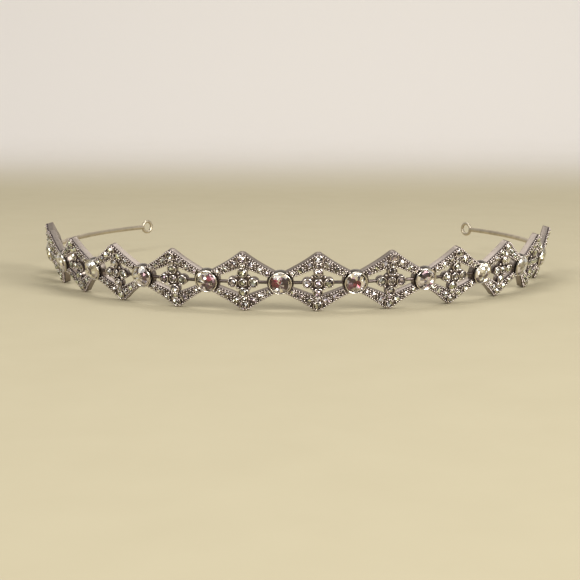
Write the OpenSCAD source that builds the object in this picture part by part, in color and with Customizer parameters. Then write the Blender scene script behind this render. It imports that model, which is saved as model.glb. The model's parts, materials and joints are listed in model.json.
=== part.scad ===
// Crystal headpiece: a horseshoe of pierced lozenge castings with a round crystal
// in a cup between each two, and a plain wire with an eyelet on each side.
// Frame: +X to the viewer's right, the front faces -Y, +Z up, resting on z = 0.
// Each casting is drawn flat (x along the band, y up its face, z out of its face)
// and then placed on the band.

/* [Band] */
// Distance along the band from one cup to the next
pitch = 20; // [18:0.5:22]
// Number of lozenge castings, over half a circle
lozenge_count = 12; // [10:2:14]
// How far the castings lean outward at the top, in degrees
flare = 15; // [0:1:18]

/* [Lozenge casting] */
// Height from apex to apex
lozenge_h = 16.4; // [15.5:0.1:17.5]
// Half width of the blunt tip of an apex
apex_half = 0.5; // [0.3:0.1:0.8]
// Where the outer edge bends, along and up the casting
shoulder = [4.2, 5.4]; // [0:0.1:8]
// Where the outer edge meets the cup, along and up the casting
neck = [8.6, 2.9]; // [0:0.1:9]
// Height of the inner edge of the bars above the middle of the casting
inner_mid_h = 4.4; // [4.2:0.1:4.7]
// Fall of the inner edge for each millimetre along the casting
inner_slope = 0.405; // [0.35:0.005:0.45]
// Thickness of the casting behind its middle surface
back_t = 1.5; // [1.5:0.1:1.8]
// Height of the rails along the bars in front of the middle surface
bar_t = 0.7; // [0.5:0.1:0.8]
// Depth of the channel between the rails
channel_d = 0.25; // [0.1:0.05:0.35]
// Width of a rail
rail_w = 0.3; // [0.2:0.05:0.35]
// Height of the low web between the flower's stones
web_t = 0.35; // [0.2:0.05:0.5]
// Half diagonal of the web
web_half = 3.3; // [3.2:0.1:3.6]
// Radius of the rod from the flower to each cup
rod_r = 0.45; // [0.35:0.01:0.5]

/* [Small stones] */
// Distance of the flower's outer stones from the middle of the casting
petal_at = 2.85; // [2.8:0.05:2.9]
// Radius of the flower's outer stones
petal_r = 1.0; // [0.85:0.01:1.0]
// Radius of the flower's middle stone
heart_r = 0.8; // [0.65:0.01:0.85]
// Height of the stone under each apex above the middle of the casting
under_at = 4.75; // [4.7:0.05:4.8]
// Radius of the stone under each apex
under_r = 0.55; // [0.45:0.01:0.58]
// Height of the apex stone above the middle of the casting
apex_at = 6.6; // [6.55:0.05:6.7]
// Radius of the apex stone
apex_r = 0.9; // [0.75:0.01:0.92]
// Place of the first stone of each bar, along and up the casting
near_at = [2.35, 5.15]; // [2:0.05:5.5]
// Radius of the first stone of each bar
near_r = 0.85; // [0.75:0.01:0.88]
// Place of the second stone of each bar, along and up the casting
far_at = [4.75, 3.75]; // [3.5:0.05:5]
// Radius of the second stone of each bar
far_r = 0.74; // [0.6:0.01:0.76]
// Clearance of a stone in its pocket
stone_gap = 0.1; // [0.08:0.01:0.12]
// Wall of a small stone's bezel
bezel_wall = 0.3; // [0.2:0.01:0.32]
// Height of the bezels in front of the middle surface
bezel_t = 1.0; // [0.9:0.05:1.1]

/* [Cup and its crystal] */
// Outer radius of the cup
cup_r = 3.2; // [3.15:0.05:3.3]
// Height of the cup's rim in front of the middle surface
rim_h = 1.0; // [1.0:0.1:1.3]
// Radius of the crystal
crystal_r = 2.9; // [2.8:0.05:2.9]
// Radius of the crystal's table
table_r = 1.65; // [1.4:0.05:1.8]
// Height of the crystal above its girdle
crown_h = 1.05; // [0.8:0.05:1.2]
// Depth of the crystal below its girdle
pavilion_h = 1.8; // [1.5:0.1:1.8]
// Gap between two pieces that meet
seat_gap = 0.05; // [0.04:0.01:0.06]
// Width of the collar round each cup
collar_w = 0.35; // [0.3:0.05:0.5]

/* [Wires] */
// Radius of the side wires
wire_r = 0.75; // [0.6:0.05:0.8]
// Angle from the front at which the wires end, in degrees
wire_end = 132.5; // [125:0.5:140]
// Hole radius of the eyelet
eyelet_hole_r = 1.4; // [1.2:0.1:1.6]
// Outer radius of the eyelet
eyelet_r = 2.35; // [2.2:0.05:2.6]
// Thickness of the eyelet
eyelet_t = 0.9; // [0.8:0.05:1.2]
// Outer radius of the socket that holds the wire
socket_r = 1.25; // [1.2:0.05:1.3]
// Length of the socket
socket_l = 2.6; // [2.4:0.1:2.8]
// Depth of the wire in its socket
socket_depth = 1.5; // [1.2:0.1:1.6]

/* [Hidden] */
$fn = 48;
step_angle = 180 / lozenge_count;
half_pitch = pitch / 2;
// Radius of the band at the middle of a casting, and at a cup
face_r = half_pitch / tan(step_angle / 2);
band_r = half_pitch / sin(step_angle / 2);
lozenge_top = lozenge_h / 2;
lip_rise = 0.3;
lip_overlap = 0.12;
lip_round = 0.15;
cup_floor = 0.35;
cup_bevel = 0.2;
culet_r = 0.25;
girdle_h = rim_h - lip_rise;
crystal_top = girdle_h + crown_h;
lip_r = crystal_r - lip_overlap;
collar_r = cup_r + seat_gap + collar_w;
pocket_floor = 0.1;
// The lowest edge of the castings rests on z = 0
band_z = lozenge_top * cos(flare) + bar_t * sin(flare);
// The middle of the box over the whole part lies on y = 0
front_reach = band_r + crystal_top * cos(flare) + table_r * sin(flare);
back_reach = -band_r * cos(wire_end) + eyelet_r * sin(wire_end) - eyelet_t / 2 * cos(wire_end);
band_y = (front_reach - back_reach) / 2;
silver_grey = [0.50, 0.47, 0.46];
wire_grey = [0.62, 0.58, 0.52];
clear_grey = [0.86, 0.85, 0.84];

// The small stones of one casting: along it, up it, radius
SMALL_STONES = concat(
    [for (s = [-1, 1]) [s * petal_at, 0, petal_r]],
    [for (s = [-1, 1]) [0, s * petal_at, petal_r]],
    [for (s = [-1, 1]) [0, s * under_at, under_r]],
    [for (s = [-1, 1]) [0, s * apex_at, apex_r]],
    [for (s = [-1, 1], t = [-1, 1]) [s * near_at[0], t * near_at[1], near_r]],
    [for (s = [-1, 1], t = [-1, 1]) [s * far_at[0], t * far_at[1], far_r]],
    [[0, 0, heart_r]]
);

function two_digits(i) = str(i < 10 ? "0" : "", i);
function lozenge_angle(i) = (i - (lozenge_count + 1) / 2) * step_angle;
function cup_angle(i) = (i - lozenge_count / 2) * step_angle;
function stone_x(s) = s[0];
function stone_y(s) = s[1];
function stone_r(s) = s[2];
function inner_h(x) = inner_mid_h - inner_slope * abs(x);

LOZENGES = [for (i = [1:lozenge_count]) str("lozenge_", two_digits(i))];
SETTINGS = [for (i = [1:lozenge_count - 1]) str("setting_", two_digits(i))];
CRYSTALS = [for (i = [1:lozenge_count - 1]) str("crystal_", two_digits(i))];

// Places a flat drawing on the band: angle from the front, radius of its middle
module on_band(angle, radius, lean) {
    translate([0, band_y, band_z])
        rotate([0, 0, angle])
            translate([0, -radius, 0])
                rotate([90 + lean, 0, 0])
                    children();
}

module lozenge_outline() {
    quarter = [[apex_half, lozenge_top], shoulder, neck];
    right = concat(quarter, [for (i = [2:-1:0]) [quarter[i][0], -quarter[i][1]]]);
    left = [for (i = [5:-1:0]) [-right[i][0], right[i][1]]];
    polygon(concat(right, left));
}

// The lozenge of air between the bars, before the flower and the collars fill it
module inner_outline() {
    polygon([[0, inner_h(0)], [neck[0], inner_h(neck[0])], [neck[0], -inner_h(neck[0])],
        [0, -inner_h(0)], [-neck[0], -inner_h(neck[0])], [-neck[0], inner_h(neck[0])]]);
}

module web_outline() {
    polygon([[web_half, 0], [0, web_half], [-web_half, 0], [0, -web_half]]);
}

module collar_discs() {
    for (s = [-1, 1])
        translate([s * half_pitch, 0])
            circle(r = collar_r);
}

// The four bars, with a collar at each end
module bars() {
    translate([0, 0, -back_t])
        linear_extrude(back_t + bar_t)
            difference() {
                lozenge_outline();
                difference() {
                    inner_outline();
                    collar_discs();
                }
            }
}

// The shallow channel along the bars, between a rail at the outer edge and one at the inner edge
module channel() {
    translate([0, 0, bar_t - channel_d])
        linear_extrude(2 * channel_d)
            difference() {
                offset(delta = -rail_w)
                    lozenge_outline();
                offset(delta = rail_w)
                    inner_outline();
                collar_discs();
            }
}

// The flower's web and the two rods that carry it
module flower_web() {
    translate([0, 0, -back_t / 2])
        linear_extrude(back_t / 2 + web_t)
            web_outline();
    rotate([0, 90, 0])
        cylinder(r = rod_r, h = pitch - 2 * cup_r - collar_w, center = true);
}

module bezel(s) {
    translate([stone_x(s), stone_y(s), -back_t / 2])
        cylinder(r = stone_r(s) + stone_gap + bezel_wall, h = back_t / 2 + bezel_t);
}

module pocket(s) {
    translate([stone_x(s), stone_y(s), pocket_floor])
        cylinder(r = stone_r(s) + stone_gap, h = bezel_t);
}

// A short tube on the outer end of an end casting, which holds the wire
module wire_socket(side) {
    on_band(side * 90, band_r, 0)
        rotate([0, -side * 90, 0])
            cylinder(r = socket_r, h = socket_l);
}

module wire_bore(side) {
    on_band(side * 90, band_r, 0)
        rotate([0, -side * 90, 0])
            translate([0, 0, -1])
                cylinder(r = wire_r + seat_gap, h = 1 + socket_depth + seat_gap);
}

module lozenge(i) {
    angle = lozenge_angle(i);
    end_side = i == 1 ? -1 : i == lozenge_count ? 1 : 0;
    color(silver_grey)
        difference() {
            union() {
                on_band(angle, face_r, flare) {
                    difference() {
                        bars();
                        channel();
                    }
                    flower_web();
                    for (s = SMALL_STONES)
                        bezel(s);
                }
                if (end_side != 0)
                    wire_socket(end_side);
            }
            on_band(angle, face_r, flare)
                for (s = SMALL_STONES)
                    pocket(s);
            if (end_side != 0)
                wire_bore(end_side);
            for (s = [-1, 1])
                if (s != end_side)
                    on_band(angle + s * step_angle / 2, band_r, flare)
                        cylinder(r = cup_r + seat_gap, h = 2 * (back_t + rim_h), center = true);
        }
}

// A closed-back cup, conical inside, with a lip turned in over the crystal's girdle
module cup(i) {
    color(silver_grey)
        on_band(cup_angle(i), band_r, flare)
            rotate_extrude()
                polygon([
                    [0, -back_t],
                    [cup_r - cup_bevel, -back_t],
                    [cup_r, -back_t + cup_bevel],
                    [cup_r, rim_h - cup_bevel],
                    [cup_r - lip_round, rim_h],
                    [lip_r + seat_gap, rim_h],
                    [lip_r, rim_h - lip_overlap],
                    [crystal_r + seat_gap, girdle_h + seat_gap],
                    [crystal_r + seat_gap, girdle_h - seat_gap],
                    [culet_r, girdle_h - pavilion_h],
                    [culet_r, -back_t + cup_floor],
                    [0, -back_t + cup_floor]
                ]);
}

function ring(count, radius, height, turn = 0) =
    [for (k = [0:count - 1])
        let (a = (k + turn) * 360 / count) [radius * cos(a), radius * sin(a), height]];

// A round brilliant cut: table, stars, kites and halves above the girdle, mains and halves below
module brilliant() {
    n = 8;
    half = 180 / n;
    star_r = (crystal_r + table_r) / 2;
    low_r = 0.25 * crystal_r;
    star_h = crown_h * (crystal_r - star_r * cos(half)) / (crystal_r - table_r);
    low_h = -pavilion_h * (1 - low_r * cos(half) / crystal_r);
    star = n;
    girdle = 2 * n;
    low = 4 * n;
    culet = 5 * n;
    points = concat(
        ring(n, table_r, crown_h, 0.5),
        ring(n, star_r, star_h, 1),
        ring(2 * n, crystal_r, 0, 1),
        ring(n, low_r, low_h, 1),
        [[0, 0, -pavilion_h]]
    );
    faces = concat(
        [[for (k = [n - 1:-1:0]) k]],
        [for (k = [0:n - 1]) let (m = (k + 1) % n) [k, m, star + k]],
        [for (k = [0:n - 1]) let (b = (k + n - 1) % n) [k, star + k, girdle + 2 * k, star + b]],
        [for (k = [0:n - 1]) [star + k, girdle + 2 * k + 1, girdle + 2 * k]],
        [for (k = [0:n - 1]) [star + k, girdle + (2 * k + 2) % (2 * n), girdle + 2 * k + 1]],
        [for (k = [0:n - 1]) [girdle + 2 * k, girdle + 2 * k + 1, low + k]],
        [for (k = [0:n - 1]) [girdle + 2 * k + 1, girdle + (2 * k + 2) % (2 * n), low + k]],
        [for (k = [0:n - 1]) let (b = (k + n - 1) % n) [girdle + 2 * k, low + k, culet, low + b]]
    );
    polyhedron(points, faces);
}

module crystal(i) {
    color(clear_grey)
        on_band(cup_angle(i), band_r, flare)
            translate([0, 0, girdle_h])
                brilliant();
}

// A small stone: table, eight crown facets and eight below
module chaton(radius) {
    n = 8;
    top_h = 0.4 * radius;
    depth = 0.75 * radius;
    polyhedron(
        concat(ring(n, 0.58 * radius, top_h, 0.5), ring(n, radius, 0, 0.5), [[0, 0, -depth]]),
        concat(
            [[for (k = [n - 1:-1:0]) k]],
            [for (k = [0:n - 1]) let (m = (k + 1) % n) [k, m, n + m, n + k]],
            [for (k = [0:n - 1]) let (m = (k + 1) % n) [n + k, n + m, 2 * n]]
        )
    );
}

module small_stones() {
    color(clear_grey)
        for (i = [1:lozenge_count])
            on_band(lozenge_angle(i), face_r, flare)
                for (s = SMALL_STONES)
                    translate([stone_x(s), stone_y(s), bezel_t - 0.05])
                        chaton(stone_r(s));
}

// A wire round the back of the band, with a flat ring at its end
module wire(side) {
    first = 90 - socket_depth / band_r * 180 / PI;
    last = wire_end - (eyelet_r + eyelet_hole_r) / 2 / band_r * 180 / PI;
    color(wire_grey) {
        translate([0, band_y, band_z])
            rotate([0, 0, side > 0 ? first - 90 : -90 - last])
                rotate_extrude(angle = last - first, $fn = 180)
                    translate([band_r, 0])
                        circle(r = wire_r);
        on_band(side * wire_end, band_r, 0)
            difference() {
                cylinder(r = eyelet_r, h = eyelet_t, center = true);
                cylinder(r = eyelet_hole_r, h = 2 * eyelet_t, center = true);
            }
    }
}

for (i = [1:lozenge_count])
    lozenge(i);
for (i = [1:lozenge_count - 1])
    cup(i);
for (i = [1:lozenge_count - 1])
    crystal(i);
small_stones();
wire(-1);  // wire_left
wire(1);  // wire_right
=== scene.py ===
"""Crystal headpiece: an open horseshoe of pierced lozenge castings set with clear stones.

The script follows the tiara as it is put together: the castings, the stones at the ends of their
bars, the other small stones, the cups and their crystals, the side wires, then the floor, light
and camera. A piece is drawn flat in millimetres, x along the band, y up the face and z out of the
face, and becomes metres when it is placed on the band.
"""
import json
import math

import bmesh
import bpy
from mathutils import Matrix, Vector
from mathutils.geometry import tessellate_polygon


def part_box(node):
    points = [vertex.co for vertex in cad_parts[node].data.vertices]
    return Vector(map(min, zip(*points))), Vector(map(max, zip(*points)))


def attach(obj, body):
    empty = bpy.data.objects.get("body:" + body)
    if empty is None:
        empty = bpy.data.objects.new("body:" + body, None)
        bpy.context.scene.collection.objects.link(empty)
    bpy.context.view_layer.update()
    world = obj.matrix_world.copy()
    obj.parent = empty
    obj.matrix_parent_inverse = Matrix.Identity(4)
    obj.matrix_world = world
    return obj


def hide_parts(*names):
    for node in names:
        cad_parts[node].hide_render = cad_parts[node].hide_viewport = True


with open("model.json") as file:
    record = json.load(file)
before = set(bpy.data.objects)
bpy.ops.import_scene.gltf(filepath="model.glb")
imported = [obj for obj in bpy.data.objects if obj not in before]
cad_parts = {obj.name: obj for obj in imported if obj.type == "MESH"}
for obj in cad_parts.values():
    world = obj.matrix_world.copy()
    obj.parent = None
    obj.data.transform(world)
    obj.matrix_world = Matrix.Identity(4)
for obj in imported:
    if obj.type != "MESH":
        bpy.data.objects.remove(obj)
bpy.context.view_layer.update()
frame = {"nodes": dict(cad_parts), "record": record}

# Lozenge castings
# Twelve castings in white metal, plated dark antique silver and rubbed bright on top. Each is
# pierced in four gaps round a flower of bezels on two rods, with rolled beads along its bars.
# They butt on the cups between them and are soldered there.
MM = 0.001
mount_at = {mount["name"]: Vector(mount["pos_m"]) for mount in frame["record"]["mounts"]}
BAND_MIDDLE = mount_at["head_seat"].y
BAND_HEIGHT = mount_at["eyelet_left"].z
LOZENGES = 12
PITCH = 20.0
STEP = math.pi / LOZENGES
FLARE = math.radians(15)
FACE_RADIUS = PITCH / 2 / math.tan(STEP / 2)
BAND_RADIUS = PITCH / 2 / math.sin(STEP / 2)


def add_node(tree, kind, inputs=None, **settings):
    """Adds a node. An input is given a value, or linked where a socket is given."""
    made = tree.nodes.new(kind)
    for key, value in settings.items():
        setattr(made, key, value)
    for key, value in (inputs or {}).items():
        if isinstance(value, bpy.types.NodeSocket):
            tree.links.new(value, made.inputs[key])
        else:
            made.inputs[key].default_value = value
    return made


def reckon(tree, operation, *values):
    """A number worked out from numbers or sockets."""
    return add_node(tree, "ShaderNodeMath", dict(enumerate(values)), operation=operation).outputs[0]


def axes_of(tree, vector):
    """The X, Y and Z sockets of a vector."""
    return add_node(tree, "ShaderNodeSeparateXYZ", {"Vector": vector}).outputs


def vector_of(tree, x=0.0, y=0.0, z=0.0):
    """A vector from numbers or sockets."""
    return add_node(tree, "ShaderNodeCombineXYZ", {"X": x, "Y": y, "Z": z}).outputs["Vector"]


def geometry_tree(name, inputs):
    """A node tree with a geometry input, the named inputs after it, and a geometry output."""
    tree = bpy.data.node_groups.new(name, "GeometryNodeTree")
    tree.interface.new_socket("Geometry", in_out="INPUT", socket_type="NodeSocketGeometry")
    for label, kind in inputs:
        tree.interface.new_socket(label, in_out="INPUT", socket_type="NodeSocket" + kind)
    tree.interface.new_socket("Geometry", in_out="OUTPUT", socket_type="NodeSocketGeometry")
    return tree, add_node(tree, "NodeGroupInput").outputs


def finish_tree(tree, instances, material):
    """Ends a tree in Realize Instances and Set Material."""
    real = add_node(tree, "GeometryNodeRealizeInstances", {"Geometry": instances})
    dressed = add_node(tree, "GeometryNodeSetMaterial",
                       {"Geometry": real.outputs["Geometry"], "Material": material})
    add_node(tree, "NodeGroupOutput", {"Geometry": dressed.outputs["Geometry"]})


def run_tree(name, mesh, tree, values):
    """Runs a tree on a mesh and returns the result as a plain object at the origin."""
    piece = bpy.data.objects.new(name, mesh)
    bpy.context.scene.collection.objects.link(piece)
    modifier = piece.modifiers.new(tree.name, "NODES")
    modifier.node_group = tree
    sockets = {item.name: item.identifier for item in tree.interface.items_tree if item.in_out == "INPUT"}
    for label, value in values.items():
        modifier[sockets[label]] = value
    graph = bpy.context.evaluated_depsgraph_get()
    plain = bpy.data.meshes.new_from_object(
        piece.evaluated_get(graph), preserve_all_data_layers=True, depsgraph=graph)
    piece.modifiers.remove(modifier)
    piece.data = plain
    plain.name = name
    return piece


def band_tree():
    """Places a flat drawing at an angle round the band, and keeps its height as relief."""
    tree, given = geometry_tree("round_the_band", [
        ("Angle", "Float"), ("Radius", "Float"), ("Lean", "Float"), ("Material", "Material")])
    angle = given["Angle"]
    drawn = axes_of(tree, add_node(tree, "GeometryNodeInputPosition").outputs["Position"])
    kept = add_node(tree, "GeometryNodeStoreNamedAttribute",
                    {"Geometry": given["Geometry"], "Name": "relief", "Value": drawn["Z"]},
                    data_type="FLOAT", domain="POINT")
    reach = reckon(tree, "MULTIPLY", given["Radius"], MM)
    right = reckon(tree, "MULTIPLY", reckon(tree, "SINE", angle), reach)
    forward = reckon(tree, "MULTIPLY", reckon(tree, "COSINE", angle), reach)
    spot = vector_of(tree, right, reckon(tree, "SUBTRACT", BAND_MIDDLE, forward), BAND_HEIGHT)
    point = add_node(tree, "GeometryNodePoints", {"Count": 1, "Position": spot})
    tilt = reckon(tree, "ADD", given["Lean"], math.pi / 2)
    set_out = add_node(tree, "GeometryNodeInstanceOnPoints",
                       {"Points": point.outputs["Points"], "Instance": kept.outputs["Geometry"],
                        "Rotation": vector_of(tree, tilt, z=angle), "Scale": (MM, MM, MM)})
    finish_tree(tree, set_out.outputs["Instances"], given["Material"])
    return tree


def beads_tree():
    """A row of small round beads along every edge of a mesh."""
    tree, given = geometry_tree("rolled_beads", [
        ("Bead Radius", "Float"), ("Bead Pitch", "Float"), ("Material", "Material")])
    path = add_node(tree, "GeometryNodeMeshToCurve", {"Mesh": given["Geometry"]})
    stops = add_node(tree, "GeometryNodeResampleCurve",
                     {"Curve": path.outputs["Curve"], "Length": given["Bead Pitch"]}, mode="LENGTH")
    bead = add_node(tree, "GeometryNodeMeshUVSphere",
                    {"Segments": 10, "Rings": 5, "Radius": given["Bead Radius"]})
    rows = add_node(tree, "GeometryNodeInstanceOnPoints",
                    {"Points": stops.outputs["Curve"], "Instance": bead.outputs["Mesh"]})
    finish_tree(tree, rows.outputs["Instances"], given["Material"])
    return tree


def points_tree():
    """Sets one shape on every point of a mesh, at the point's own size, spun and tipped at random."""
    tree, given = geometry_tree("set_on_points", [
        ("Shape", "Object"), ("Tip", "Float"), ("Seed", "Int"), ("Material", "Material")])
    shape = add_node(tree, "GeometryNodeObjectInfo", {"Object": given["Shape"]})
    size = add_node(tree, "GeometryNodeInputNamedAttribute", {"Name": "size"}, data_type="FLOAT")
    tip = given["Tip"]
    other_way = reckon(tree, "MULTIPLY", tip, -1.0)
    chance = add_node(tree, "FunctionNodeRandomValue",
                      {"Min": vector_of(tree, other_way, other_way, -math.pi),
                       "Max": vector_of(tree, tip, tip, math.pi),
                       "Seed": given["Seed"]}, data_type="FLOAT_VECTOR")
    placed = add_node(tree, "GeometryNodeInstanceOnPoints",
                      {"Points": given["Geometry"], "Instance": shape.outputs["Geometry"],
                       "Rotation": chance.outputs["Value"], "Scale": size.outputs["Attribute"]})
    finish_tree(tree, placed.outputs["Instances"], given["Material"])
    return tree


ROUND_THE_BAND = band_tree()
ROLLED_BEADS = beads_tree()
SET_ON_POINTS = points_tree()


def on_band(name, mesh, angle, radius, lean, material):
    """A piece made from one flat drawing at one place on the band."""
    return run_tree(name, mesh, ROUND_THE_BAND, {
        "Angle": angle, "Radius": radius, "Lean": lean, "Material": material})


def mesh_from_tree(name, mesh, tree, values):
    """Runs a tree on a flat drawing and keeps only the mesh that it makes."""
    piece = run_tree(name, mesh, tree, values)
    made = piece.data
    bpy.data.objects.remove(piece)
    return made


def mesh_of(name, points, edges=(), faces=()):
    mesh = bpy.data.meshes.new(name)
    mesh.from_pydata(points, edges, faces)
    return mesh


def joined(name, meshes):
    """One mesh from several, with no material yet."""
    whole = bmesh.new()
    for mesh in meshes:
        whole.from_mesh(mesh)
    result = bpy.data.meshes.new(name)
    whole.to_mesh(result)
    whole.free()
    return result


def sunk_edge(loop, inset, least=0.5):
    """Moves a closed outline inwards, along the middle of the corner at each point. At a very
    sharp corner the move stays short."""
    moved = []
    for k, point in enumerate(loop):
        before = (Vector(point) - Vector(loop[k - 1])).normalized()
        after = (Vector(loop[(k + 1) % len(loop)]) - Vector(point)).normalized()
        middle = before + after
        inward = Vector((middle.y, -middle.x)).normalized()
        sharp = max(least, inward.dot(Vector((before.y, -before.x))))
        moved.append(tuple(Vector(point) + inward * inset / sharp))
    return moved


EDGE_ROUND = 0.12


def plate(name, outlines, bottom, top):
    """A flat plate between two heights with rounded edges. Outlines run clockwise, holes the other way."""
    levels = [(EDGE_ROUND, bottom), (0, bottom + EDGE_ROUND), (0, top - EDGE_ROUND),
              (0.3 * EDGE_ROUND, top - 0.3 * EDGE_ROUND), (EDGE_ROUND, top)]
    points = []
    faces = []
    ends = []
    for outline in outlines:
        rings = []
        for inset, height in levels:
            rings.append(range(len(points), len(points) + len(outline)))
            points += [(x, y, height) for x, y in sunk_edge(outline, inset)]
        for low, high in zip(rings, rings[1:]):
            for k in range(len(outline)):
                j = (k + 1) % len(outline)
                faces.append((low[j], low[k], high[k], high[j]))
        ends.append((rings[0], rings[-1]))
    for which in (0, 1):
        border = [list(end[which]) for end in ends]
        flat = [index for ring in border for index in ring]
        fill = tessellate_polygon([[Vector(points[index]) for index in ring] for ring in border])
        for corner in fill:
            a, b, c = (flat[index] for index in corner)
            up = (Vector(points[b]) - Vector(points[a])).cross(Vector(points[c]) - Vector(points[a])).z > 0
            faces.append((a, b, c) if up == (which == 1) else (c, b, a))
    return mesh_of(name, points, faces=faces)


def full_turn(count, shift=0.0):
    """Angles at even steps round a circle."""
    return [2 * math.pi * (k + shift) / count for k in range(count)]


def even_steps(start, stop, steps):
    """Values at even steps from start to stop, with both of them."""
    return [start + (stop - start) * k / steps for k in range(steps + 1)]


def turned(name, profile, segments, at=(0, 0)):
    """A closed turned shape: a profile of radius and height, from the axis out and back to it."""
    points = [(at[0], at[1], profile[0][1]), (at[0], at[1], profile[-1][1])]
    faces = []
    rows = []
    for radius, height in profile[1:-1]:
        rows.append(range(len(points), len(points) + segments))
        points += [(at[0] + radius * math.cos(turn), at[1] + radius * math.sin(turn), height)
                   for turn in full_turn(segments)]
    for k in range(segments):
        j = (k + 1) % segments
        faces.append((0, rows[0][j], rows[0][k]))
        for low, high in zip(rows, rows[1:]):
            faces.append((low[k], low[j], high[j], high[k]))
        faces.append((1, rows[-1][k], rows[-1][j]))
    return mesh_of(name, points, faces=faces)


# The bars from back to channel, and the diamond web and the rods that carry the flower
BACK = -1.5
CHANNEL_TOP = 0.45
WEB_HALF = 3.3
WEB_BACK = -0.75
WEB_TOP = 0.35
ROD_RADIUS = 0.45
ROD_SUNK = 0.2
# Outer edge of the bars: two slopes that bend at the shoulder, as places along and up
HALF_HEIGHT = 8.2
APEX_HALF = 0.5
SHOULDER = (4.2, 5.4)
NECK = (8.6, 2.9)
SHOULDER_BLEND = 0.3
BLEND_RISE = 0.02
# Blunt tip of an apex: its flat, the middle of its round, and where the slope takes over
TIP_FLAT = 0.35
TIP_ROUND = (0.62, HALF_HEIGHT - 0.1)
TIP_END = 0.9
# Inner edge of the bars, and the two radii round a cup's middle where they end
INNER_MIDDLE = 4.4
INNER_FALL = 0.405
CUP_SEAT = 3.25
COLLAR = 3.6


def outer_edge(along):
    """Height of a bar's outer edge: two slopes that meet in a soft hollow at the shoulder."""
    steep = SHOULDER[1] - (along - SHOULDER[0]) * (HALF_HEIGHT - SHOULDER[1]) / (SHOULDER[0] - APEX_HALF)
    slack = SHOULDER[1] - (along - SHOULDER[0]) * (SHOULDER[1] - NECK[1]) / (NECK[0] - SHOULDER[0])
    return (steep + slack + math.hypot(steep - slack, SHOULDER_BLEND)) / 2 - BLEND_RISE


def inner_edge(along):
    return INNER_MIDDLE - INNER_FALL * abs(along)


def bar_middle(along):
    return (outer_edge(along) + inner_edge(along)) / 2


def cup_arc(radius, start):
    """Points round the cup on the right, from a point of the edge down to the middle."""
    first = math.atan2(start[1], start[0] - PITCH / 2)
    return [(PITCH / 2 + radius * math.cos(turn), radius * math.sin(turn))
            for turn in even_steps(first, math.pi, steps=9)]


def edge_end(edge, radius, along=PITCH / 4, step=0.01):
    """Follows an edge to the right until it comes within a radius of the cup's middle."""
    while math.dist((along, edge(along)), (PITCH / 2, 0)) > radius:
        along += step
    return along, edge(along)


def four_fold(right, left):
    """A clockwise outline from its upper right and upper left quarters, both from apex to side."""
    return (right + [(x, -y) for x, y in reversed(right[:-1])]
            + [(-x, -y) for x, y in left[1:]] + [(-x, y) for x, y in reversed(left[1:-1])])


def outline_quarter(cup):
    """The outer edge from apex to side, with the seat of a cup or a plain end."""
    end = edge_end(outer_edge, CUP_SEAT) if cup else NECK
    slope = even_steps(TIP_END, end[0], steps=16)[:-1]
    quarter = [(0, HALF_HEIGHT), (TIP_FLAT, HALF_HEIGHT), TIP_ROUND]
    quarter += [(along, outer_edge(along)) for along in slope]
    return quarter + (cup_arc(CUP_SEAT, end) if cup else [NECK, (NECK[0], 0)])


def hole_quarter():
    """The inner edge from the middle to the collar, and round the collar."""
    end = edge_end(inner_edge, COLLAR)
    slope = even_steps(0, end[0], steps=6)[:-1]
    return [(along, inner_edge(along)) for along in slope] + cup_arc(COLLAR, end)


# The four quarters of a casting's face, as signs along and up
CORNERS = [(1, 1), (1, -1), (-1, -1), (-1, 1)]
# Rolled beads along both edges of a bar: their size, then how far their rows are set in and run
BEAD_RADIUS = 0.29
BEAD_PITCH = 0.76
BEAD_HEIGHT = 0.56
APEX_INSET = 0.28
OUTER_INSET = 0.175
INNER_INSET = 0.154
OUTER_BEADS_FROM = 1.0
INNER_BEADS_FROM = 1.2
INNER_BEADS_TO = 6.5


def bead_path(edge, inset, start, stop):
    """Points along one edge of a bar, moved into the bar, at the height of the beads' middles."""
    return [(along, edge(along) + inset, BEAD_HEIGHT) for along in even_steps(start, stop, steps=14)]


def mirrored_paths(path):
    """An edge mesh of one path and its three mirror images."""
    points = []
    edges = []
    for side, up in CORNERS:
        first = len(points)
        points += [(side * x, up * y, z) for x, y, z in path]
        edges += [(first + k, first + k + 1) for k in range(len(path) - 1)]
    return points, edges


def sized_points(name, spots):
    """Loose points, each with its own size. A spot is along, up, out and size."""
    mesh = mesh_of(name, [spot[:3] for spot in spots])
    sizes = mesh.attributes.new("size", "FLOAT", "POINT")
    for k, spot in enumerate(spots):
        sizes.data[k].value = spot[3]
    return mesh


# Bezels of the small stones
STONE_GAP = 0.1
FLOWER_BACK = -0.87
BAR_BEZEL_ROOT = 0.0
BEZEL_TOP = 1.0
BEZEL_FLOOR = 0.1
BEZEL_WALL = 0.28
BEZEL_FOOT = 0.15
BEZEL_LIP = 0.08
BAR_BEZEL_TOP = 0.8
BAR_BEZEL_WALL = 0.14


def bezel(x, y, radius, wall, bottom, top):
    """A small stone's bezel: a short tube with a floor, a rounded foot and a rounded lip."""
    inner = radius + STONE_GAP
    outer = inner + wall
    return turned("bezel", [
        (0, bottom), (outer - BEZEL_FOOT, bottom), (outer, bottom + BEZEL_FOOT),
        (outer, top - 0.3 * wall), (outer - 0.35 * wall, top), (inner + 0.25 * wall, top),
        (inner, top - BEZEL_LIP), (inner, BEZEL_FLOOR), (0, BEZEL_FLOOR)],
        segments=20, at=(x, y))


# The small stones of one casting: along it, up it, radius
PETAL_AT = 2.85
PETAL_RADIUS = 1.0
FLOWER_STONES = [(0, 0, 0.8)]
FLOWER_STONES += [(side * PETAL_AT, 0, PETAL_RADIUS) for side in (-1, 1)]
FLOWER_STONES += [(0, side * PETAL_AT, PETAL_RADIUS) for side in (-1, 1)]
APEX_STONES = [(0, side * 4.75, 0.55) for side in (-1, 1)]
APEX_STONES += [(0, side * 6.6, 0.9) for side in (-1, 1)]
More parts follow.
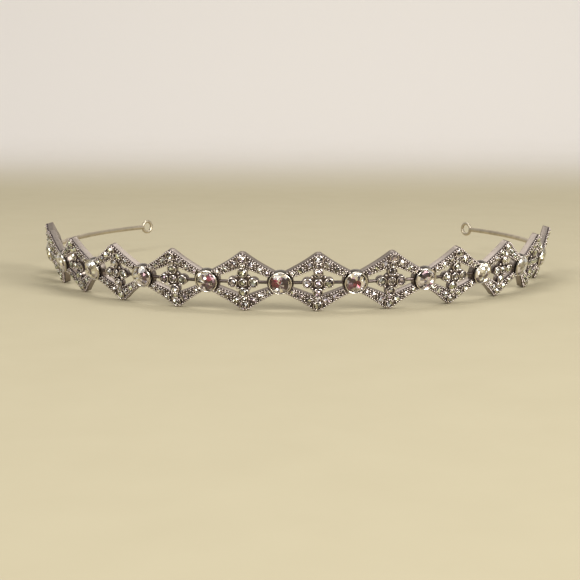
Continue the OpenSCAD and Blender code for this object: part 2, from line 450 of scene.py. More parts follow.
# The stones of one bar, from the apex to the cup, which the other three bars mirror
BAR_STONES = [(2.35, 5.15, 0.85), (4.75, 3.75, 0.74), (6.75, 2.72, 0.56)]
# Three grains across the bar between two of its stones: spacing, then height and radius
ROW_GRAIN_GAP = 0.62
ROW_GRAIN = (CHANNEL_TOP + 0.14, 0.27)
# Single grains in a quarter of the face: along, up, height, radius
FACE_GRAINS = [
    (1.66, 1.66, WEB_TOP + 0.1, 0.44),
    (1.12, 5.75, CHANNEL_TOP + 0.1, 0.27),
    (1.32, 4.62, CHANNEL_TOP + 0.1, 0.22),
    (8.0, 2.72, CHANNEL_TOP + 0.05, 0.2),
]
# Grains over the stones' edges, four to a bezel: how far across its wall, then height and radius
CLAW_SHARE = 0.3
CLAW = (BEZEL_TOP, 0.18)
BAR_CLAW = (BAR_BEZEL_TOP + 0.1, 0.21)
BAR_CLAW_TURNS = [math.radians(turn) for turn in (20, 110, 200, 290)]
# A grain of radius one: a foot sunk in the metal and a round top, as radius and height
GRAIN_PROFILE = [(0, -0.6), (0.94, -0.34), (0.966, 0.26), (0.643, 0.766), (0, 1)]


def grain_spots():
    """The grains raised from the metal beside the stones, on the web and on the bezels."""
    spots = []
    for side, up in CORNERS:
        for left, right in zip(BAR_STONES, BAR_STONES[1:]):
            middle = (left[0] + right[0]) / 2
            spots += [(side * middle, up * (bar_middle(middle) + offset), *ROW_GRAIN)
                      for offset in (-ROW_GRAIN_GAP, 0.0, ROW_GRAIN_GAP)]
        spots += [(side * x, up * y, height, radius) for x, y, height, radius in FACE_GRAINS]
    for x, y, radius in FLOWER_STONES + APEX_STONES:
        reach = (radius + STONE_GAP + CLAW_SHARE * BEZEL_WALL) * math.sqrt(0.5)
        spots += [(x + side * reach, y + up * reach, *CLAW) for side, up in CORNERS]
    for x, y, radius in BAR_STONES:
        reach = radius + STONE_GAP
        for side, up in CORNERS:
            spots += [(side * (x + reach * math.cos(turn)), up * (y + reach * math.sin(turn)), *BAR_CLAW)
                      for turn in BAR_CLAW_TURNS]
    return spots


def rod():
    """The two rods that carry the flower, drawn as one rod through its middle."""
    half = PITCH / 2 - COLLAR + ROD_SUNK
    mesh = turned("rod", [(0, -half), (ROD_RADIUS, -half), (ROD_RADIUS, half), (0, half)], segments=12)
    mesh.transform(Matrix.Rotation(math.pi / 2, 4, "Y"))
    return mesh


def shape_object(name, mesh):
    """A shape that a tree repeats. It is deleted when the last tree has used it."""
    shape = bpy.data.objects.new(name, mesh)
    bpy.context.scene.collection.objects.link(shape)
    return shape


def shaded(name):
    """An empty material tree, and the place of a surface point in the object's own frame."""
    material = bpy.data.materials.new(name)
    material.use_nodes = True
    material.node_tree.nodes.clear()
    return material, material.node_tree, add_node(material.node_tree, "ShaderNodeTexCoord").outputs["Object"]


def noise(tree, place, scale, detail, roughness=0.5):
    """Clouds or grain from 0 to 1. The scale is in spots a metre."""
    made = add_node(tree, "ShaderNodeTexNoise",
                    {"Vector": place, "Scale": scale, "Detail": detail, "Roughness": roughness})
    return made.outputs["Fac"]


def mapped(tree, value, start, stop, first=0.0, last=1.0, **settings):
    """A value that runs from start to stop, moved to run from first to last, and kept there."""
    return add_node(tree, "ShaderNodeMapRange",
                    {"Value": value, "From Min": start, "From Max": stop, "To Min": first, "To Max": last},
                    **settings).outputs["Result"]


def ramp(tree, value, stops):
    """A colour ramp from stops of position and colour."""
    made = add_node(tree, "ShaderNodeValToRGB", {"Fac": value})
    elements = made.color_ramp.elements
    while len(elements) < len(stops):
        elements.new(0.5)
    for element, (position, colour) in zip(elements, stops):
        element.position = position
    for element, (position, colour) in zip(elements, stops):
        element.color = (*colour, 1)
    return made.outputs["Color"]


def clouded_height(tree, clouds, share):
    """A point's height in the drawing, raised by clouds of up to a share of a millimetre."""
    relief = add_node(tree, "ShaderNodeAttribute", attribute_name="relief").outputs["Fac"]
    return reckon(tree, "MULTIPLY_ADD", clouds, share, relief)


def bare_metal(tree, shade, dull, fine, strength, depth):
    """Ends a material tree in plated metal with a fine grain in its surface."""
    bump = add_node(tree, "ShaderNodeBump", {"Height": fine, "Strength": strength, "Distance": depth})
    metal = add_node(tree, "ShaderNodeBsdfPrincipled",
                     {"Base Color": shade, "Metallic": 1.0, "Roughness": dull,
                      "Normal": bump.outputs["Normal"]})
    add_node(tree, "ShaderNodeOutputMaterial", {"Surface": metal.outputs["BSDF"]})


# Heights that the antique plate's tones run between, from the satin wall to the rubbed tops
WALL_FOOT = -0.75
RUBBED_TOP = 1.35


def antique_silver():
    """Satin side walls, dark plate in the hollows and bright rubbed tops, with fine casting pits."""
    material, tree, place = shaded("antique_silver")
    clouds = noise(tree, place, scale=900.0, detail=3.0, roughness=0.65)
    level = mapped(tree, clouded_height(tree, clouds, share=0.5), start=WALL_FOOT, stop=RUBBED_TOP)
    shade = ramp(tree, level, [
        (0.0, (0.30, 0.255, 0.22)), (0.50, (0.36, 0.31, 0.275)), (0.58, (0.085, 0.066, 0.062)),
        (0.70, (0.13, 0.105, 0.10)), (0.78, (0.46, 0.40, 0.385)), (0.95, (0.62, 0.56, 0.525))])
    dull = mapped(tree, level, start=0.6, stop=0.95, first=0.42, last=0.18)
    pits = noise(tree, place, scale=5200.0, detail=2.0)
    bare_metal(tree, shade, dull, pits, strength=0.2, depth=0.03 * MM)
    return material


ANTIQUE_SILVER = antique_silver()


def soft_edges(mesh, degrees):
    """Shades a mesh smooth, but keeps the edges sharper than the angle."""
    for face in mesh.polygons:
        face.use_smooth = True
    mesh.set_sharp_from_angle(angle=math.radians(degrees))


def flat_casting(cup_right, cup_left):
    """One casting drawn flat. An end without a cup is closed."""
    outline = four_fold(outline_quarter(cup_right), outline_quarter(cup_left))
    hole = four_fold(hole_quarter(), hole_quarter())
    web = [(WEB_HALF, 0), (0, -WEB_HALF), (-WEB_HALF, 0), (0, WEB_HALF)]
    parts = [plate("bars", [outline, hole[::-1]], BACK, CHANNEL_TOP)]
    parts += [plate("web", [web], WEB_BACK, WEB_TOP), rod()]
    parts += [bezel(*stone, BEZEL_WALL, FLOWER_BACK, BEZEL_TOP) for stone in FLOWER_STONES]
    parts += [bezel(*stone, BEZEL_WALL, BAR_BEZEL_ROOT, BEZEL_TOP) for stone in APEX_STONES]
    parts += [bezel(side * x, up * y, radius, BAR_BEZEL_WALL, BAR_BEZEL_ROOT, BAR_BEZEL_TOP)
              for side, up in CORNERS for x, y, radius in BAR_STONES]
    outer_end = edge_end(outer_edge, CUP_SEAT + BEAD_RADIUS)[0]
    outer_path = [(BEAD_PITCH / 2, HALF_HEIGHT - APEX_INSET, BEAD_HEIGHT)]
    outer_path += bead_path(outer_edge, -OUTER_INSET, OUTER_BEADS_FROM, outer_end)
    inner_path = bead_path(inner_edge, INNER_INSET, INNER_BEADS_FROM, INNER_BEADS_TO)
    beads = {"Bead Radius": BEAD_RADIUS, "Bead Pitch": BEAD_PITCH, "Material": ANTIQUE_SILVER}
    for path in (outer_path, inner_path):
        guide = mesh_of("bead_path", *mirrored_paths(path))
        parts.append(mesh_from_tree("beads", guide, ROLLED_BEADS, beads))
    parts.append(mesh_from_tree("grains", sized_points("grains", grain_spots()), SET_ON_POINTS,
                                {"Shape": grain, "Tip": 0.0, "Seed": 3, "Material": ANTIQUE_SILVER}))
    return joined("casting", parts)


# The tube that holds a wire
SOCKET_RADIUS = 1.25
SOCKET_LENGTH = 2.6
SOCKET_ROUND = 0.2


def wire_socket(side):
    """The short tube on the outer end of an end casting, which holds the wire."""
    tube = turned("socket", [
        (0, 0), (SOCKET_RADIUS - SOCKET_ROUND / 2, 0), (SOCKET_RADIUS, SOCKET_ROUND / 2),
        (SOCKET_RADIUS, SOCKET_LENGTH - SOCKET_ROUND), (SOCKET_RADIUS - SOCKET_ROUND, SOCKET_LENGTH),
        (0, SOCKET_LENGTH)], segments=24)
    tube.transform(Matrix.Rotation(-side * math.pi / 2, 4, "Y"))
    return on_band("socket", tube, side * math.pi / 2, BAND_RADIUS, 0.0, ANTIQUE_SILVER)


def casting_angle(number):
    """A casting's place round the band, from the viewer's left."""
    return (number - (LOZENGES + 1) / 2) * STEP


grain = shape_object("grain", turned("grain", GRAIN_PROFILE, segments=10))
middle_casting = flat_casting(True, True)
for number in range(1, LOZENGES + 1):
    left_end = number == 1
    right_end = number == LOZENGES
    drawing = middle_casting.copy()
    if left_end or right_end:
        drawing = flat_casting(cup_right=left_end, cup_left=right_end)
    casting = on_band(f"casting_{number:02d}", drawing, casting_angle(number), FACE_RADIUS, FLARE,
                      ANTIQUE_SILVER)
    if left_end or right_end:
        socket = wire_socket(1 if right_end else -1)
        casting.data = joined(casting.name, [casting.data, socket.data])
        casting.data.materials.append(ANTIQUE_SILVER)
        bpy.data.objects.remove(socket)
    soft_edges(casting.data, degrees=40)
    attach(casting, "root")
    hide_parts(f"lozenge_{number:02d}")
bpy.data.objects.remove(grain)

# Stones at the ends of the bars
# The smallest stone of each bar, next to the cup: clear glass with a foiled back, held in a thin
# bezel by four grains. They are set by hand, so each sits a little turned and tipped.
END_STONE_GIRDLE = 0.82
# The most that a stone set by hand is tipped, in radians
HAND_TIP = 0.12
# Sizes in the foil's pattern: a facet's patch, and a cell of one tint, about as wide as a stone
FACET = 0.62
TINT_CELL = 2.4
FACET_TILT = 1.3
# Painted reflection: the glass is painted greenish cream towards the sides of the band
SIDE_FROM = 20
SIDE_TO = 75
SIDE_SHARE = 0.75
SIDE_REFLECTION_TINT = (0.87, 0.97, 0.62, 1)
# Painted shade: the flowers' stones, at the middle of the height, are painted a shade darker than the stones
# above and below
FLOWER_REACH = 4
FLOWER_PAINTED_SHADE = 0.7


def cut_stone(name, sides=8, table=0.56, crown=0.36, depth=0.7):
    """A small stone of radius one: a table, a ring of crown facets and one of back facets."""
    points = [(radius * math.cos(turn), radius * math.sin(turn), height)
              for radius, height in ((table, crown), (1, 0)) for turn in full_turn(sides)]
    points.append((0, 0, -depth))
    faces = [tuple(range(sides))]
    for k in range(sides):
        j = (k + 1) % sides
        faces.append((sides + k, sides + j, j, k))
        faces.append((sides + j, sides + k, 2 * sides))
    return mesh_of(name, points, faces=faces)


def cells(tree, place, size):
    """Cells of about a size in millimetres, each with a random colour."""
    made = add_node(tree, "ShaderNodeTexVoronoi", {"Vector": place, "Scale": 1 / (size * MM)})
    return made.outputs["Color"]


def colour_parts(tree, colour):
    """The Red, Green and Blue sockets of a colour."""
    return add_node(tree, "ShaderNodeSeparateColor", {"Color": colour}).outputs


def mixed(tree, share, under, over, blend="MIX"):
    """One colour laid over another, by a share from 0 to 1."""
    return add_node(tree, "ShaderNodeMix", {"Factor": share, 6: under, 7: over},
                    data_type="RGBA", blend_type=blend).outputs[2]


def reckon_vector(tree, operation, *values):
    """A vector worked out from vectors or sockets."""
    return add_node(tree, "ShaderNodeVectorMath", dict(enumerate(values)),
                    operation=operation).outputs["Vector"]


def scaled(tree, vector, scale):
    """A vector or a colour times a number."""
    return add_node(tree, "ShaderNodeVectorMath", {0: vector, "Scale": scale},
                    operation="SCALE").outputs["Vector"]


def foil_under_glass(tree, colour, chance, tilt, dull, coat_dull, coat_index):
    """Ends a material tree in foil that each facet tilts at random, under a glassy coat."""
    centred = reckon_vector(tree, "SUBTRACT", chance, (0.5, 0.5, 0.5))
    face = add_node(tree, "ShaderNodeNewGeometry").outputs["Normal"]
    tipped = reckon_vector(tree, "MULTIPLY_ADD", centred, (tilt, tilt, tilt), face)
    glass = add_node(tree, "ShaderNodeBsdfPrincipled",
                     {"Base Color": colour, "Metallic": 1.0, "Roughness": dull,
                      "Normal": reckon_vector(tree, "NORMALIZE", tipped), "Coat Weight": 1.0,
                      "Coat Roughness": coat_dull, "Coat IOR": coat_index})
    add_node(tree, "ShaderNodeOutputMaterial", {"Surface": glass.outputs["BSDF"]})


def foiled_glass():
    """Clear glass over foil: small patches stand for the back facets seen through the front. Each
    patch has its own brightness and tilt, and a glassy coat lies over them all."""
    material, tree, place = shaded("foiled_glass")
    facets = cells(tree, place, FACET)
    bright = ramp(tree, colour_parts(tree, facets)["Red"], [
        (0.0, (0.05, 0.038, 0.045)), (0.32, (0.22, 0.18, 0.20)), (0.5, (0.70, 0.65, 0.67)),
        (0.64, (1.0, 0.98, 0.99))])
    stones = cells(tree, place, TINT_CELL)
    tint = ramp(tree, colour_parts(tree, stones)["Green"], [
        (0.0, (0.84, 0.88, 0.62)), (0.4, (0.97, 0.96, 0.93)), (0.6, (0.95, 0.94, 0.97)),
        (1.0, (0.92, 0.76, 0.90))])
    spot = axes_of(tree, place)
    # Painted reflection: greenish cream laid over the tint towards the sides of the band
    aside = reckon(tree, "ABSOLUTE", spot["X"])
    side_reflection = mapped(tree, aside, start=SIDE_FROM * MM, stop=SIDE_TO * MM, last=SIDE_SHARE)
    colour = mixed(tree, 1.0, bright, mixed(tree, side_reflection, tint, SIDE_REFLECTION_TINT), blend="MULTIPLY")
    # Painted shade: the foil is darkened towards the middle of the band's height, where the flowers lie
    off_middle = reckon(tree, "ABSOLUTE", reckon(tree, "SUBTRACT", spot["Z"], BAND_HEIGHT))
    foil = mapped(tree, off_middle, start=0.0, stop=FLOWER_REACH * MM, first=FLOWER_PAINTED_SHADE)
    foil_under_glass(tree, scaled(tree, colour, foil), facets, FACET_TILT, dull=0.08,
                     coat_dull=0.02, coat_index=1.57)
    return material


FOILED_GLASS = foiled_glass()
stone_shape = shape_object("stone", cut_stone("stone"))
end_x, end_y, end_radius = BAR_STONES[-1]
end_spots = [(side * end_x, up * end_y, END_STONE_GIRDLE, end_radius) for side, up in CORNERS]
fields = []
for number in range(1, LOZENGES + 1):
    drawing = mesh_from_tree("field", sized_points("field", end_spots), SET_ON_POINTS,
                             {"Shape": stone_shape, "Tip": HAND_TIP, "Seed": number,
                              "Material": FOILED_GLASS})
    fields.append(on_band("field", drawing, casting_angle(number), FACE_RADIUS, FLARE, FOILED_GLASS))
bar_stones = fields[0]
bar_stones.name = "bar_stones"
bar_stones.data = joined("bar_stones", [field.data for field in fields])
bar_stones.data.materials.append(FOILED_GLASS)
for field in fields[1:]:
    bpy.data.objects.remove(field)
bpy.data.objects.remove(stone_shape)
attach(bar_stones, "root")

# Small stones of the flowers, apexes and bars
# Seventeen to a casting, each in its own bezel: five in the flower, two at each apex and two on
# each bar. They have the same cut, glass and foil as the stones at the ends of the bars.
small_stones = frame["nodes"]["small_stones"]
small_stones.data.materials.clear()
small_stones.data.materials.append(FOILED_GLASS)

# Cups
# A spun brass cup with a closed back, plated grey, is soldered between each two castings. Its lip
# is rolled in over the crystal's edge and rubbed bright, and its wall is painted shade, near black.
CUP_RADIUS = 3.2
BACK_ROUND = 0.2
RIM = 1.0
# The rolled lip: in from the cup's wall, and down from its rim
LIP = [(0, 0.6), (0.06, 0.2), (0.12, 0.06), (0.2, 0), (0.32, 0.03), (0.42, 0.14)]
CRYSTAL_RADIUS = 2.9
SEAT_GAP = 0.05
GIRDLE = 0.7
CULET = -1.1
CULET_RADIUS = 0.25
CUP_FLOOR = -1.15


def cup_angle(number):
    """A cup's place round the band, from the viewer's left."""
    return (number - LOZENGES / 2) * STEP


def cup_profile():
    """From the middle of the back up the wall, over the lip and down the inside to the axis."""
    back = [(0, BACK), (CUP_RADIUS - BACK_ROUND, BACK),
            (CUP_RADIUS - 0.25 * BACK_ROUND, BACK + 0.3 * BACK_ROUND), (CUP_RADIUS, BACK + BACK_ROUND)]
    lip = [(CUP_RADIUS - inwards, RIM - down) for inwards, down in LIP]
    seat = CRYSTAL_RADIUS + SEAT_GAP
    inside = [(seat, GIRDLE + SEAT_GAP), (seat, GIRDLE - SEAT_GAP), (CULET_RADIUS, CULET), (0, CUP_FLOOR)]
    return back + lip + inside


def bright_plate():
    """Polished plate with hairline scratches, rubbed bright on the lip and back, painted shade on the wall.
    """
    material, tree, place = shaded("bright_plate")
    clouds = noise(tree, place, scale=420.0, detail=4.0)
    level = mapped(tree, clouded_height(tree, clouds, share=0.2), start=BACK, stop=RIM + 0.1)
    shade = ramp(tree, level, [
        # The near black stops on the wall are painted shade; the lip and back are rubbed bright
        (0.0, (0.50, 0.45, 0.42)), (0.12, (0.36, 0.32, 0.30)), (0.4, (0.10, 0.09, 0.085)),
        (0.8, (0.15, 0.135, 0.12)), (0.93, (0.70, 0.65, 0.57))])
    dull = mapped(tree, clouds, start=0.3, stop=0.7, first=0.24, last=0.1)
    scratches = noise(tree, place, scale=3800.0, detail=2.0)
    bare_metal(tree, shade, dull, scratches, strength=0.12, depth=0.02 * MM)
    return material


BRIGHT_PLATE = bright_plate()
for number in range(1, LOZENGES):
    drawing = turned("cup", cup_profile(), segments=48)
    cup = on_band(f"cup_{number:02d}", drawing, cup_angle(number), BAND_RADIUS, FLARE, BRIGHT_PLATE)
    soft_edges(cup.data, degrees=40)
    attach(cup, "root")
    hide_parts(f"setting_{number:02d}")

# Crystals
# Eleven round brilliants of clear glass, foiled on the back, each held in a cup by its lip. What
# shows through the front is the foil behind the back facets, so each stone is a wheel of light
# and dark wedges.
# Colours of the painted reflections in the crystals: smoky, rose and plum darks, sand, and pale glints
SMOKE = (0.15, 0.095, 0.105)
ROSE = (0.24, 0.055, 0.07)
PLUM = (0.30, 0.15, 0.21)
SAND = (0.55, 0.50, 0.34)
PALE = (1.0, 0.94, 0.82)
# The foil's wheel: wedges round it, rings in a radius, and how far its facets are tilted
WEDGES = 16
RINGS = 2.6
WEDGE_TILT = 1.1
# The patches of painted reflection in each crystal, from the viewer's left to the right. A patch is
# its colour, its reach, and its place along and up from the crystal's middle, all in crystal radii.
PAINTED_REFLECTIONS = [
    [(SAND, 1.0, 0.0, 0.1), (SMOKE, 0.25, 0.1, -0.1)],
    [(PALE, 1.0, 0.0, 0.3), (SMOKE, 0.22, 0.0, -0.1)],
    [(PALE, 0.95, 0.0, 0.3), (SMOKE, 0.28, 0.1, -0.05)],
    [(PALE, 0.5, -0.4, 0.1), (SMOKE, 0.4, 0.6, 0.2), (SMOKE, 0.15, -0.1, 0.5)],
    [(SMOKE, 0.75, 0.3, 0.1), (ROSE, 0.3, 0.45, 0.4), (PALE, 0.35, -0.5, 0.05)],
    [(SMOKE, 0.6, 0.35, 0.15), (ROSE, 0.5, -0.45, 0.25), (PLUM, 0.25, -0.3, -0.5),
     (PALE, 0.34, -0.1, -0.5)],
    [(SMOKE, 0.42, -0.5, 0.35), (ROSE, 0.42, 0.15, -0.05), (PLUM, 0.35, -0.6, -0.35),
     (PALE, 0.32, -0.1, -0.6)],
    [(SMOKE, 0.5, -0.1, 0.5), (PLUM, 0.3, 0.3, -0.4)],
    [(PALE, 1.0, 0.0, 0.2), (SMOKE, 0.2, 0.15, -0.1)],
    [(PALE, 1.0, 0.0, 0.2), (SMOKE, 0.2, -0.1, 0.1)],
    [(SAND, 1.0, 0.0, 0.1), (SMOKE, 0.25, 0.0, -0.25)],
]
# The share of a patch's facets that take its painted reflection, and the darkest and the lightest of them
REFLECTION_SHARE = 0.8
DARKEST = 0.35
LIGHTEST = 1.3
# Roughness of a clear facet, and how much rougher one under a painted reflection is
CLEAR_DULL = 0.05
REFLECTION_DULL = 0.2
# Painted reflection: the glass is painted a creamy light over the middle, and a cool lilac one under it
CREAM_REFLECTION = (1.0, 0.955, 0.86)
LILAC_REFLECTION = (0.90, 0.86, 0.95)


def rounded_down(tree, value, steps):
    """The number of the step that a value lies in."""
    return reckon(tree, "FLOOR", reckon(tree, "MULTIPLY", value, steps))


def foiled_crystal(number, patches):
    """Clear glass over foil, with one crystal's pattern of back facets about its middle, and painted
    reflections.
    """
    material, tree, place = shaded(f"foiled_crystal_{number:02d}")
    low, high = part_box(f"crystal_{number:02d}")
    middle = (Vector(low) + Vector(high)) / 2
    radius = CRYSTAL_RADIUS * MM
    own = add_node(tree, "ShaderNodeMapping",
                   {"Vector": place, "Location": middle,
                    "Rotation": (math.pi / 2 + FLARE, 0, cup_angle(number)),
                    "Scale": (radius, radius, radius)}, vector_type="TEXTURE").outputs["Vector"]
    spot = axes_of(tree, own)
    turn = reckon(tree, "ARCTAN2", spot["Y"], spot["X"])
    reach = add_node(tree, "ShaderNodeVectorMath", {0: vector_of(tree, spot["X"], spot["Y"])},
                     operation="LENGTH").outputs["Value"]
    wedge = rounded_down(tree, mapped(tree, turn, start=-math.pi, stop=math.pi), WEDGES)
    ring = rounded_down(tree, reach, RINGS)
    facet_turn = reckon(tree, "MULTIPLY_ADD", wedge, 2 * math.pi / WEDGES, math.pi / WEDGES - math.pi)
    facet_reach = reckon(tree, "MULTIPLY_ADD", ring, 1 / RINGS, 0.5 / RINGS)
    facet_way = vector_of(tree, reckon(tree, "COSINE", facet_turn), reckon(tree, "SINE", facet_turn))
    facet = scaled(tree, facet_way, facet_reach)
    chance = add_node(tree, "ShaderNodeTexWhiteNoise", {"Vector": vector_of(tree, wedge, ring, number)},
                      noise_dimensions="3D").outputs["Color"]
    parts = colour_parts(tree, chance)
    wheel = ramp(tree, parts["Red"], [
        (0.0, (0.05, 0.035, 0.045)), (0.24, (0.24, 0.19, 0.21)), (0.44, (0.72, 0.70, 0.71)),
        (0.66, (1.0, 0.99, 1.0))])
    # Painted reflection: creamy above the crystal's middle, cool lilac below it
    light = mapped(tree, spot["Y"], start=-0.5, stop=0.5, interpolation_type="SMOOTHSTEP")
    colour = mixed(tree, 1.0, wheel, ramp(tree, light, [(0.0, LILAC_REFLECTION), (1.0, CREAM_REFLECTION)]), blend="MULTIPLY")
    in_reflection = reckon(tree, "LESS_THAN", parts["Green"], REFLECTION_SHARE)
    lightness = mapped(tree, parts["Blue"], start=0.0, stop=1.0, first=DARKEST, last=LIGHTEST)
    dull = CLEAR_DULL
    # Patches of painted reflection: dark smoke, rose and plum, sand, and pale glints
    for patch, patch_reach, along, up in patches:
        away = add_node(tree, "ShaderNodeVectorMath", {0: facet, 1: (along, up, 0.0)},
                        operation="DISTANCE").outputs["Value"]
        share = reckon(tree, "MULTIPLY", reckon(tree, "LESS_THAN", away, patch_reach), in_reflection)
        colour = mixed(tree, share, colour, scaled(tree, patch, lightness))
        dull = reckon(tree, "MULTIPLY_ADD", share, REFLECTION_DULL, dull)
    foil_under_glass(tree, colour, chance, WEDGE_TILT, dull, coat_dull=0.01, coat_index=1.58)
    return material


for number, patches in enumerate(PAINTED_REFLECTIONS, 1):
    crystal = frame["nodes"][f"crystal_{number:02d}"]
    crystal.data.materials.clear()
    crystal.data.materials.append(foiled_crystal(number, patches))

# Side wires
# A plain round steel wire runs on from each end of the band, round the back of the head, and
# ends in a small flat ring. Both are plated satin champagne grey, and the ring is soldered on.
WIRE_RADIUS = 0.75
WIRE_IN_SOCKET = 1.5
WIRE_END = math.atan2(mount_at["eyelet_right"].x, BAND_MIDDLE - mount_at["eyelet_right"].y)
EYELET_RADIUS = 2.35
EYELET_HOLE = 1.4
EYELET_HALF = 0.45
# How far the ring's round section is blown up before its four sides are cut flat
EYELET_FLATTEN = 1.25


def satin_wire():
    """Satin plate drawn through a die, with fine grain and small worn patches."""
    material, tree, place = shaded("satin_wire")
    wear = noise(tree, place, scale=300.0, detail=5.0)
    shade = ramp(tree, wear, [(0.35, (0.47, 0.41, 0.315)), (0.62, (0.60, 0.53, 0.415))])
    dull = mapped(tree, wear, start=0.3, stop=0.7, first=0.45, last=0.3)
    fine = noise(tree, place, scale=2600.0, detail=2.0)
    bare_metal(tree, shade, dull, fine, strength=0.2, depth=0.03 * MM)
    return material


SATIN_WIRE = satin_wire()


def eyelet_ring(segments=40, round_steps=8):
    """A flat ring with rounded edges, drawn flat about its own hole."""
    middle = (EYELET_RADIUS + EYELET_HOLE) / 2
    half = (EYELET_RADIUS - EYELET_HOLE) / 2
    points = []
    faces = []
    for angle in full_turn(segments):
        for turn in full_turn(round_steps, shift=0.5):
            out = middle + half * max(-1, min(1, EYELET_FLATTEN * math.cos(turn)))
            height = EYELET_HALF * max(-1, min(1, EYELET_FLATTEN * math.sin(turn)))
            points.append((out * math.cos(angle), out * math.sin(angle), height))
    for k in range(segments):
        here = k * round_steps
        there = (k + 1) % segments * round_steps
        for j in range(round_steps):
            up = (j + 1) % round_steps
            faces.append((here + j, there + j, there + up, here + up))
    return mesh_of("eyelet", points, faces=faces)


def wire_tube(side, sides=16, steps=72):
    """The round wire along the band's circle, closed at both ends."""
    first = math.pi / 2 - WIRE_IN_SOCKET / BAND_RADIUS
    last = WIRE_END - (EYELET_RADIUS + EYELET_HOLE) / 2 / BAND_RADIUS
    points = []
    faces = []
    for angle in even_steps(first, last, steps):
        for turn in full_turn(sides):
            out = (BAND_RADIUS + WIRE_RADIUS * math.cos(turn)) * MM
            points.append((side * out * math.sin(angle), BAND_MIDDLE - out * math.cos(angle),
                           BAND_HEIGHT + WIRE_RADIUS * MM * math.sin(turn)))
    for k in range(steps):
        here = k * sides
        for j in range(sides):
            up = (j + 1) % sides
            faces.append((here + j, here + sides + j, here + sides + up, here + up))
    faces.append(tuple(range(sides)))
    faces.append(tuple(reversed(range(steps * sides, (steps + 1) * sides))))
    mesh = mesh_of("wire", points, faces=faces)
    if side < 0:
        mesh.flip_normals()
    return mesh


def face_outwards(mesh):
    """Turns every face of a closed mesh outwards."""
    work = bmesh.new()
    work.from_mesh(mesh)
    bmesh.ops.recalc_face_normals(work, faces=work.faces)
    work.to_mesh(mesh)
    work.free()


for side, hand in ((-1, "left"), (1, "right")):
    wire = on_band(f"side_wire_{hand}", eyelet_ring(), side * WIRE_END, BAND_RADIUS, 0.0, SATIN_WIRE)
    wire.data = joined(wire.name, [wire_tube(side), wire.data])
    wire.data.materials.append(SATIN_WIRE)
    face_outwards(wire.data)
    soft_edges(wire.data, degrees=50)
    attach(wire, "root")
    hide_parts(f"wire_{hand}")

# Floor and backdrop
# One sheet of plain pale board, laid flat under the tiara and curved up behind it in one sweep.
# It is matt, so that the lights leave no glare on it, and it turns paler up the back.
# The board in metres: its width, its front, its bend and its top, and where it turns paler
BOARD_HALF_WIDTH = 1.6
BOARD_FRONT = -1.4
BOARD_BEND = 0.55
BEND_RADIUS = 0.5
BOARD_TOP = 1.9
PALER_FROM = 0.25
PALER_TO = 0.7
FIBRE_SHARE = 0.06


def pale_board():
    """Matt board with a faint fibre, sand-coloured underfoot and paler up the back."""
    material, tree, place = shaded("pale_board")
    fibre = noise(tree, place, scale=60.0, detail=6.0)
    far = mapped(tree, axes_of(tree, place)["Y"], start=PALER_FROM, stop=PALER_TO,
                 interpolation_type="SMOOTHSTEP")
    shade = ramp(tree, reckon(tree, "MULTIPLY_ADD", fibre, FIBRE_SHARE, far), [
        (0.0, (0.45, 0.40, 0.28)), (0.06, (0.48, 0.43, 0.305)), (1.0, (0.87, 0.83, 0.795))])
    board = add_node(tree, "ShaderNodeBsdfPrincipled",
                     {"Base Color": shade, "Roughness": 0.9, "Specular IOR Level": 0.1})
    add_node(tree, "ShaderNodeOutputMaterial", {"Surface": board.outputs["BSDF"]})
    return material


def sweep():
    """The section of the sweep, drawn out to both sides."""
    section = [(BOARD_FRONT, 0.0)]
    section += [(BOARD_BEND + BEND_RADIUS * math.sin(turn), BEND_RADIUS - BEND_RADIUS * math.cos(turn))
                for turn in even_steps(0.0, math.pi / 2, steps=12)]
    section.append((BOARD_BEND + BEND_RADIUS, BOARD_TOP))
    points = [(x, y, z) for x in (-BOARD_HALF_WIDTH, BOARD_HALF_WIDTH) for y, z in section]
    count = len(section)
    faces = [(k, count + k, count + k + 1, k + 1) for k in range(count - 1)]
    return mesh_of("sweep", points, faces=faces)


floor = bpy.data.objects.new("floor", sweep())
bpy.context.scene.collection.objects.link(floor)
floor.data.materials.append(pale_board())
soft_edges(floor.data, degrees=60)

# Light
# A large soft key from the upper left, a fill from the right for the side that it leaves dark, a
# strip above and behind, and a low strip in front. The even surround is dim, so that the metal
# keeps dark edges beside its highlights.
LIT_SPOT = Vector((0.0, -0.03, 0.01))
WARM = (1.0, 0.985, 0.93)
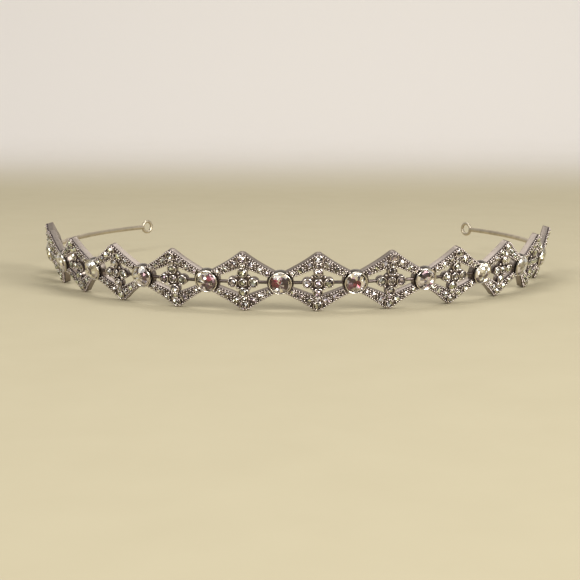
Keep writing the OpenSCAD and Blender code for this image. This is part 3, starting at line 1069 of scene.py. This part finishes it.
# Each softbox: name, place, width and height in metres, watts, colour
SOFTBOXES = [
    ("key", (-0.45, -0.62, 0.55), 0.40, 0.40, 3.9, WARM),
    ("fill", (0.65, -0.55, 0.30), 0.30, 0.45, 7.6, WARM),
    ("top", (0.05, 0.15, 0.75), 0.60, 0.25, 1.8, (1.0, 0.99, 0.97)),
    ("low", (0.15, -0.95, 0.16), 0.30, 0.10, 0.9, (1.0, 0.97, 0.95)),
]
SURROUND = (0.90, 0.875, 0.83, 1)
SURROUND_STRENGTH = 0.55


def softbox(name, place, width, height, watts, colour):
    """A rectangular lamp that faces the tiara."""
    light = bpy.data.lights.new(name, "AREA")
    light.shape = "RECTANGLE"
    light.size = width
    light.size_y = height
    light.energy = watts
    light.color = colour
    lamp = bpy.data.objects.new(name, light)
    lamp.location = place
    lamp.rotation_euler = (LIT_SPOT - Vector(place)).to_track_quat("-Z", "Y").to_euler()
    bpy.context.scene.collection.objects.link(lamp)


for box in SOFTBOXES:
    softbox(*box)
world = bpy.data.worlds.new("surround")
bpy.context.scene.world = world
world.use_nodes = True
world.node_tree.nodes["Background"].inputs["Color"].default_value = SURROUND
world.node_tree.nodes["Background"].inputs["Strength"].default_value = SURROUND_STRENGTH
bpy.context.scene.view_settings.view_transform = "Standard"

# Camera
# A long lens less than half a metre in front, a little to the right of straight on and nine
# degrees above the floor. It looks at a spot just behind the middle of the band's front.
AZIMUTH = math.radians(3.6)
ELEVATION = math.radians(9)
DISTANCE = 0.377
LOOKED_AT = Vector((0.0023, -0.060, 0.0055))
camera = bpy.data.cameras.new("camera")
camera.sensor_width = 36
camera.lens = 87.6
camera.clip_start = 0.02
camera.clip_end = 20
eye = bpy.data.objects.new("camera", camera)
back_along = Vector((math.sin(AZIMUTH) * math.cos(ELEVATION), -math.cos(AZIMUTH) * math.cos(ELEVATION),
                     math.sin(ELEVATION)))
eye.location = LOOKED_AT + back_along * DISTANCE
eye.rotation_euler = (-back_along).to_track_quat("-Z", "Y").to_euler()
bpy.context.scene.collection.objects.link(eye)
bpy.context.scene.camera = eye
